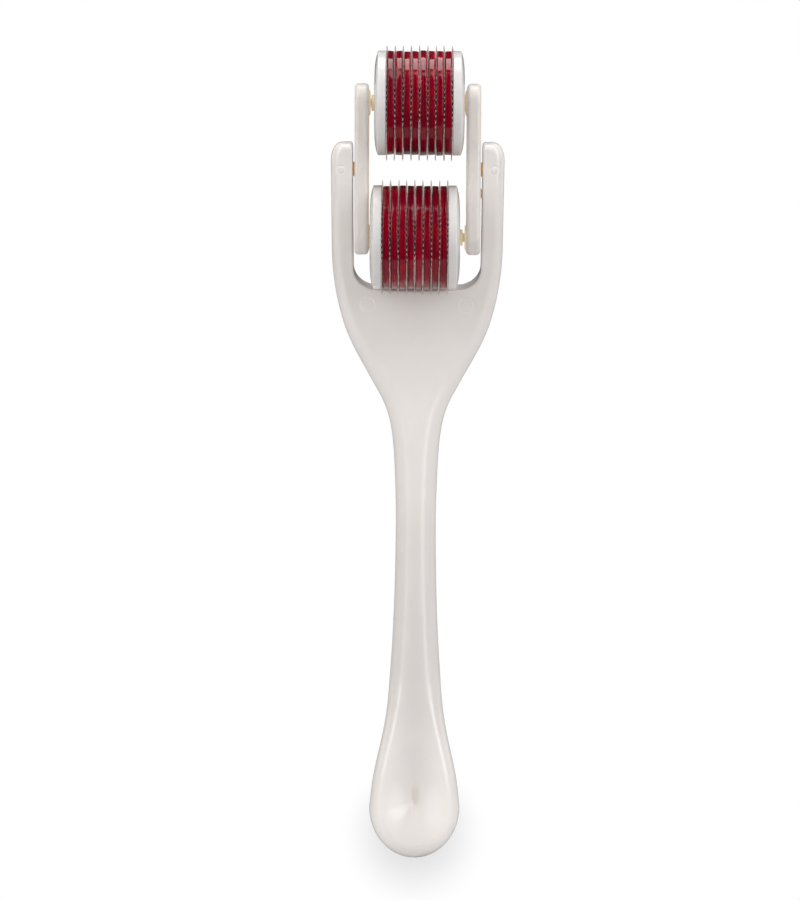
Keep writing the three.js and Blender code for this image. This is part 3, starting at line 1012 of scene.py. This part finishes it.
def make_spacer(drum, number, material, chance):
    """A red ring between two discs. No two are quite alike: each is a little proud or shy, and
    its surface undulates."""
    node = f"{drum}_spacer_{number}"
    low, high = span(node)
    centre = AXLES[drum]
    radius = (high[2] - low[2]) / 2
    offset, tilt = chance.normal(0, SPACER_OFFSET), chance.normal(0, SPACER_TILT)
    waves = random_waves(chance, {k: SPACER_WAVE for k in (2, 3, 5, 9)})
    shifts = random_waves(chance, {k: SPACER_SHIFT for k in (2, 4, 7)})
    half = (high[0] - low[0]) / 2
    middle_x = (high[0] + low[0]) / 2

    def swell(angles, place, at):
        """Changes the outer surface only."""
        out = at > (radius + RING_HOLE) / 2
        across = (place - middle_x) / half
        wave, shift = wave_sum(waves, angles), wave_sum(shifts, angles)
        crown = SPACER_CROWN * (1 - (across - 0.5 * shift) ** 4)
        change = offset + tilt * across + 0.5 * wave + crown
        return np.where(out, np.minimum(change, SPACER_MOST), 0)

    left = [
        (
            low[0] + SPACER_EDGE_WIDTH * (1 - math.cos(turn)),
            radius - SPACER_EDGE_DROP * (1 - math.sin(turn)),
        )
        for turn in np.linspace(0, math.pi / 2, SPACER_EDGE_POINTS)
    ]
    flat = np.linspace(low[0] + SPACER_EDGE_WIDTH, high[0] - SPACER_EDGE_WIDTH, 7)[1:-1]
    right = [(low[0] + high[0] - place, at) for place, at in reversed(left)]
    outer = left + [(place, radius) for place in flat] + right
    outer = [(place, at - SPACER_SHY) for place, at in outer]
    profile = [(low[0], RING_HOLE)] + outer + [(high[0], RING_HOLE)]
    made = turned(f"{node}_ring", profile, DRUM_SIDES, centre, material, swell)
    stand_in(made, node, f"{drum}_roller")


def make_disc(drum, number, material, chance):
    """A thin steel disc cut into needles. Each needle leans a little, and the disc is wavy."""
    node = f"{drum}_needle_disc_{number}"
    points = points_of(node)
    low, high = span(node)
    centre = AXLES[drum]
    middle_x, thickness = (low[0] + high[0]) / 2, high[0] - low[0]
    from_axis = np.hypot(points[:, 1] - centre[1], points[:, 2] - centre[2])
    tip = points[np.argmax(from_axis)]
    tip_radius = from_axis.max()
    first = math.atan2(tip[1] - centre[1], tip[2] - centre[2])
    waves = random_waves(chance, {k: DISC_WAVE / k for k in (1, 2, 3, 5)})

    rows = [(NEEDLE_ROOT, *ROOT_SIZE)]
    rows += [(tip_radius - below, half, deep) for below, half, deep in NEEDLE_ROWS]
    vertices, faces = [], []
    for k in range(NEEDLES):
        angle = first + k * 2 * math.pi / NEEDLES
        lean = wave_sum(waves, angle) + chance.normal(0, NEEDLE_LEAN)
        swing = chance.normal(0, NEEDLE_SWING)
        length = chance.normal(0, NEEDLE_WEAR)
        start = len(vertices)
        for at, half, deep in rows:
            rise = (at - NEEDLE_ROOT) / (tip_radius - NEEDLE_ROOT)
            out = at + rise * min(length, 0)
            turn = angle + swing * rise
            for side in range(NEEDLE_SIDES):
                about = side * 2 * math.pi / NEEDLE_SIDES
                along, across = half * math.cos(about), deep * thickness * math.sin(about)
                place = turn + along / out
                vertices.append(
                    (
                        middle_x + lean * rise**LEAN_POWER + across,
                        centre[1] + out * math.sin(place),
                        centre[2] + out * math.cos(place),
                    )
                )
        for row in range(len(rows) - 1):
            for side in range(NEEDLE_SIDES):
                a = start + row * NEEDLE_SIDES + side
                b = start + row * NEEDLE_SIDES + (side + 1) % NEEDLE_SIDES
                faces.append((a, b, b + NEEDLE_SIDES, a + NEEDLE_SIDES))
        faces.append(tuple(start + side for side in reversed(range(NEEDLE_SIDES))))
        top = start + (len(rows) - 1) * NEEDLE_SIDES
        faces.append(tuple(top + side for side in range(NEEDLE_SIDES)))
    corners = [
        (low[0], RING_HOLE),
        (low[0], DISC_EDGE),
        (high[0], DISC_EDGE),
        (high[0], RING_HOLE),
    ]
    ring, ring_faces = turned_rings(rounded(corners, DISC_ROUND, 3), DISC_SIDES, centre)
    shift = len(vertices)
    vertices = np.concatenate([np.array(vertices), ring])
    faces += [tuple(shift + k for k in face) for face in ring_faces]
    made = new_object(f"{node}_etched", vertices, faces, material)
    face_out(made)
    stand_in(made, node, f"{drum}_roller")


# ---------------------------------------------------------------- the whole object


SEED = 7
DISCS = 9


def make_object():
    white = handle_plastic()
    link_white = link_plastic()
    cap_white = cap_plastic()
    red = red_plastic()
    amber = nylon("amber nylon", **AMBER)
    ivory = nylon("ivory nylon", **IVORY)
    steel = needle_steel()
    chance = np.random.default_rng(SEED)

    make_handle(white)
    make_link("left_link", -1, link_white)
    make_link("right_link", 1, link_white)
    for node in ("left_pivot_pin", "right_pivot_pin", "friction_nub"):
        make_bar(node, "rocker", amber, PIN_EDGE)
    for drum in ("upper", "lower"):
        make_bar(f"{drum}_axle", "rocker", ivory, AXLE_EDGE)
        make_core(drum, ivory)
        for side in (-1, 1):
            make_cap(drum, side, cap_white)
        for number in range(1, DISCS + 1):
            make_disc(drum, number, steel, chance)
        for number in range(1, DISCS):
            make_spacer(drum, number, red, chance)


# ---------------------------------------------------------------- stage, lights and camera

AROUND = 0.37
DIM_STUDIO = 0.025
FLOOR_ALBEDO = 0.3
FLOOR_AROUND = 1.05
FLOOR_FRONT = 0.125
FLOOR_BACK = 1.2
FLOOR_HALF_WIDTH = 0.8
SHADOW = {"width": 0.0155, "length": 0.082, "behind": 0.025, "dark": 0.25, "core": 0.2}

VIEW_ELEVATION = math.radians(6)
VIEW_DISTANCE = 0.8
VIEW_RISE = 1.7 * MM
VIEW_ROLL = math.radians(0.3)
LENS = 165.2
SHIFT_X = -0.018


def make_floor():
    """A white floor. To the camera it is plain white with a painted soft shadow round the foot. It
    gives the object an even light from below, and its reflection is lit by the studio's lights."""
    z = FOOT * MM
    corners = [
        (-FLOOR_HALF_WIDTH, -FLOOR_FRONT, z),
        (FLOOR_HALF_WIDTH, -FLOOR_FRONT, z),
        (FLOOR_HALF_WIDTH, FLOOR_BACK, z),
        (-FLOOR_HALF_WIDTH, FLOOR_BACK, z),
    ]
    mesh = bpy.data.meshes.new("floor")
    mesh.from_pydata(corners, [], [(0, 1, 2, 3)])
    floor = bpy.data.objects.new("floor", mesh)
    bpy.context.scene.collection.objects.link(floor)
    made = Nodes("floor white")
    # Painted shadow: the camera sees the floor darker round the foot.
    shadow = made.fading(
        (0, -SHADOW["behind"] / SHADOW["length"], 0),
        (1 / SHADOW["width"], 1 / SHADOW["length"], 0),
        1 - SHADOW["dark"],
        1.0,
        SHADOW["core"],
    )
    shown = made.add("ShaderNodeEmission")
    made.link(shadow, shown.inputs["Strength"])
    lit = made.add("ShaderNodeBsdfDiffuse")
    lit.inputs["Color"].default_value = (FLOOR_ALBEDO, FLOOR_ALBEDO, FLOOR_ALBEDO, 1)
    path = made.add("ShaderNodeLightPath")
    even = made.add("ShaderNodeEmission")
    even.inputs["Strength"].default_value = FLOOR_AROUND
    seen = lit.outputs["BSDF"]
    for ray, shader in (("Is Diffuse Ray", even), ("Is Camera Ray", shown)):
        choice = made.add("ShaderNodeMixShader")
        made.link(path.outputs[ray], choice.inputs["Fac"])
        made.link(seen, choice.inputs[1])
        made.link(shader.outputs["Emission"], choice.inputs[2])
        seen = choice.outputs["Shader"]
    made.link(seen, made.tree.nodes["Material Output"].inputs["Surface"])
    mesh.materials.append(made.material)


def make_world():
    """White to the camera, an even light on the object, and dim in its reflections."""
    world = bpy.data.worlds.new("studio")
    bpy.context.scene.world = world
    world.use_nodes = True
    tree = world.node_tree
    background = tree.nodes["Background"]
    path = tree.nodes.new("ShaderNodeLightPath")
    seen = None
    strengths = {
        "Is Glossy Ray": DIM_STUDIO,
        "Is Transmission Ray": 1.0,
        "Is Camera Ray": 1.0,
    }
    for ray, value in strengths.items():
        strength = tree.nodes.new("ShaderNodeMix")
        tree.links.new(path.outputs[ray], strength.inputs[0])
        strength.inputs[2].default_value = AROUND
        if seen is not None:
            tree.links.new(seen, strength.inputs[2])
        strength.inputs[3].default_value = value
        seen = strength.outputs[0]
    tree.links.new(seen, background.inputs["Strength"])
    background.inputs["Color"].default_value = (1, 1, 1, 1)


def make_light(name, place, target, size, radiance, colour=(1, 1, 1)):
    """A soft box: a rectangle of even light, facing its target."""
    light = bpy.data.lights.new(name, "AREA")
    light.shape = "RECTANGLE"
    light.size, light.size_y = size
    light.energy = radiance * math.pi * size[0] * size[1]
    light.color = colour
    made = bpy.data.objects.new(name, light)
    made.location = place
    made.rotation_euler = (Vector(target) - Vector(place)).to_track_quat("-Z", "Y").to_euler()
    made.visible_camera = False
    bpy.context.scene.collection.objects.link(made)
    return made


# Places and sizes of lights are in metres.
GRIP = (0, 0, 0)
SIDE_BOX = (0.75, 2.0)
WARM, COOL = (1.0, 0.985, 0.97), (0.985, 0.99, 1.0)

# Lights that only reflections see, a metre from the object: degrees round it from the front
# towards the right, width and radiance.
REFLECTED = {
    "left strip": (-52, 0.22, 1.4),
    "right strip": (42, 0.45, 1.6),
    "left card": (-135, 0.9, 0.8),
    "right card": (135, 0.9, 0.8),
}
REFLECTED_Z, REFLECTED_HEIGHT = 0.3, 1.5


def make_lights():
    top = (0, 0, AXLES["upper"][2] * MM)
    make_light("overhead box", (0, 0.075, 0.58), top, (0.2, 0.32), 4.0)
    make_light("left box", (-0.8, -0.6, 0.8), GRIP, SIDE_BOX, 2.15, WARM)
    make_light("right box", (0.8, -0.6, 0.8), GRIP, SIDE_BOX, 2.4, COOL)
    for name, (turn, width, radiance) in REFLECTED.items():
        turn = math.radians(turn)
        place = (math.sin(turn), -math.cos(turn), REFLECTED_Z)
        strip = make_light(name, place, GRIP, (width, REFLECTED_HEIGHT), radiance)
        strip.visible_diffuse = False
    before = make_light("front fill", (0, -1.6, 0.12), top, (1.4, 1.4), 1.25)
    before.visible_glossy = False
    behind = make_light("back fill", (0, 1.2, 0.5), GRIP, (0.8, 0.8), 2.5)
    behind.visible_glossy = False


def make_camera():
    low, high = CAD_BOX
    target = Vector((0, PIVOT[1] * MM, (low[2] + high[2]) / 2 + VIEW_RISE))
    away = Vector((0, -math.cos(VIEW_ELEVATION), math.sin(VIEW_ELEVATION)))
    camera = bpy.data.cameras.new("camera")
    camera.lens = LENS
    camera.shift_x = SHIFT_X
    made = bpy.data.objects.new("camera", camera)
    facing = (-away).to_track_quat("-Z", "Y").to_matrix().to_4x4()
    roll = Matrix.Rotation(VIEW_ROLL, 4, "Z")
    made.matrix_world = Matrix.Translation(target + away * VIEW_DISTANCE) @ facing @ roll
    bpy.context.scene.collection.objects.link(made)
    bpy.context.scene.camera = made


bpy.context.scene.view_settings.view_transform = "Standard"
make_camera()
make_object()
make_floor()
make_world()
make_lights()
